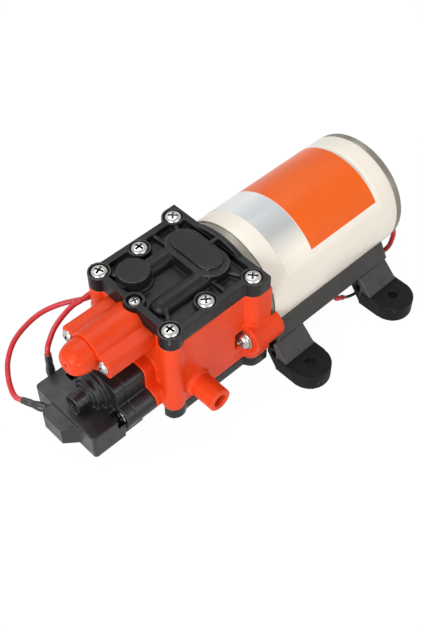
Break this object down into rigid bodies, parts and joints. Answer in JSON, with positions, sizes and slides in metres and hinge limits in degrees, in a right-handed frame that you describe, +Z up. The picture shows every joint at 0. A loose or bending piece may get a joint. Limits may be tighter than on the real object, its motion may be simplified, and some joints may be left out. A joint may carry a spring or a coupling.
{
  "type": "caravan water pump",
  "caption": "Compact low-voltage diaphragm water pump on rubber feet: sleeved motor, orange moulded head with side ports, bypass valve and pressure switch.",
  "frame": {"origin": "on the ground, at the centre of the four foot holes", "axes": "+X along the motor axis from the pump head to the motor rear, +Z up, -Y towards the near port"},
  "size_m": [0.1777, 0.0988, 0.0594],
  "materials": {
    "orange_plastic": "moulded, satin",
    "black_plastic": "moulded, fine texture",
    "ivory_sleeve": "smooth shrink sleeve",
    "label_film": "printed film",
    "foot_rubber": "moulded rubber",
    "bracket_plastic": "moulded, fine texture",
    "stainless": "bright stainless",
    "can_steel": "dull plated steel",
    "copper": "bare and enamelled copper",
    "brass": "brass and bronze",
    "ferrite": "ferrite and carbon",
    "core_steel": "stacked sheet steel",
    "inner_plastic": "plain moulded",
    "soft_rubber": "soft rubber",
    "red_lead": "cable insulation",
    "black_lead": "cable insulation"
  },
  "bodies": {
    "pump": {"upper_cover": "black_plastic", "lower_cover": "black_plastic", "pump_housing": "orange_plastic", "upper_valve_plate": "black_plastic", "lower_valve_plate": "black_plastic", "upper_diaphragm": "soft_rubber", "lower_diaphragm": "soft_rubber", "upper_cover_screws": "stainless", "lower_cover_screws": "stainless", "bypass_block": "orange_plastic", "bypass_cap": "orange_plastic", "bypass_spring": "stainless", "bypass_screws": "stainless", "switch_rear_case": "black_plastic", "switch_front_case": "black_plastic", "switch_diaphragm": "soft_rubber", "switch_spring": "stainless", "microswitch": "black_plastic", "switch_terminals": "brass", "terminal_sleeves": "black_lead", "switch_screws": "stainless", "head_fixings": "stainless", "motor_can": "can_steel", "front_bell": "can_steel", "rear_cap": "can_steel", "motor_sleeve": "ivory_sleeve", "motor_label": "label_film", "magnets": "ferrite", "brush_holder": "inner_plastic", "brushes": "ferrite", "shaft_bushes": "brass", "lead_grommets": "foot_rubber", "bracket": "bracket_plastic", "foot_front_right": "foot_rubber", "foot_front_left": "foot_rubber", "foot_rear_right": "foot_rubber", "foot_rear_left": "foot_rubber", "switch_lead": "red_lead", "supply_lead": "red_lead", "black_lead": "black_lead", "lead_crimps": "red_lead"},
    "rotor": {"rotor_shaft": "stainless", "rotor_core": "core_steel", "rotor_windings": "copper", "commutator": "copper", "drive_eccentric": "stainless", "drive_bearing": "stainless"},
    "yoke": {"drive_yoke": "inner_plastic", "upper_piston": "inner_plastic", "lower_piston": "inner_plastic"},
    "upper_inlet": {"upper_inlet_valve": "soft_rubber"},
    "upper_outlet": {"upper_outlet_valve": "soft_rubber"},
    "lower_inlet": {"lower_inlet_valve": "soft_rubber"},
    "lower_outlet": {"lower_outlet_valve": "soft_rubber"},
    "poppet": {"bypass_poppet": "inner_plastic"},
    "bypass_setting": {"bypass_adjuster": "orange_plastic"},
    "plunger": {"switch_plunger": "inner_plastic"},
    "button": {"microswitch_button": "red_lead"},
    "switch_setting": {"switch_adjuster": "black_plastic"}
  },
  "joints": [
    {"name": "rotor_spin", "type": "hinge", "parent": "pump", "child": "rotor", "pos_m": [0, 0, 0.0309], "axis": [1, 0, 0], "continuous": true},
    {"name": "yoke_stroke", "type": "slide", "parent": "pump", "child": "yoke", "axis": [0, 0, 1], "range_m": [-0.0012, 0.0012], "stiffness_N_per_m": 900},
    {"name": "upper_inlet_lift", "type": "slide", "parent": "pump", "child": "upper_inlet", "axis": [0, 0, -1], "range_m": [0, 0.0012], "stiffness_N_per_m": 30},
    {"name": "upper_outlet_lift", "type": "slide", "parent": "pump", "child": "upper_outlet", "axis": [0, 0, 1], "range_m": [0, 0.0012], "stiffness_N_per_m": 30},
    {"name": "lower_inlet_lift", "type": "slide", "parent": "pump", "child": "lower_inlet", "axis": [0, 0, 1], "range_m": [0, 0.0012], "stiffness_N_per_m": 30},
    {"name": "lower_outlet_lift", "type": "slide", "parent": "pump", "child": "lower_outlet", "axis": [0, 0, -1], "range_m": [0, 0.0012], "stiffness_N_per_m": 30},
    {"name": "bypass_open", "type": "slide", "parent": "pump", "child": "poppet", "axis": [-1, 0, 0], "range_m": [0, 0.0025], "stiffness_N_per_m": 1500, "springref_m": -0.002, "deforming": ["bypass_spring"]},
    {"name": "bypass_adjust", "type": "hinge", "parent": "pump", "child": "bypass_setting", "pos_m": [-0.1126, 0, 0.0463], "axis": [1, 0, 0], "range_deg": [-180, 180]},
    {"name": "switch_press", "type": "slide", "parent": "pump", "child": "plunger", "axis": [-1, 0, 0], "range_m": [0, 0.0012], "stiffness_N_per_m": 2000, "springref_m": -0.001, "deforming": ["switch_spring"]},
    {"name": "button_press", "type": "slide", "parent": "pump", "child": "button", "axis": [-1, 0, 0], "range_m": [0, 0.0012]},
    {"name": "switch_adjust", "type": "hinge", "parent": "pump", "child": "switch_setting", "pos_m": [-0.1126, 0, 0.0227], "axis": [1, 0, 0], "range_deg": [-180, 180]}
  ],
  "couplings": [
    {"joint": "button_press", "follows": "switch_press", "ratio": 1}
  ]
}
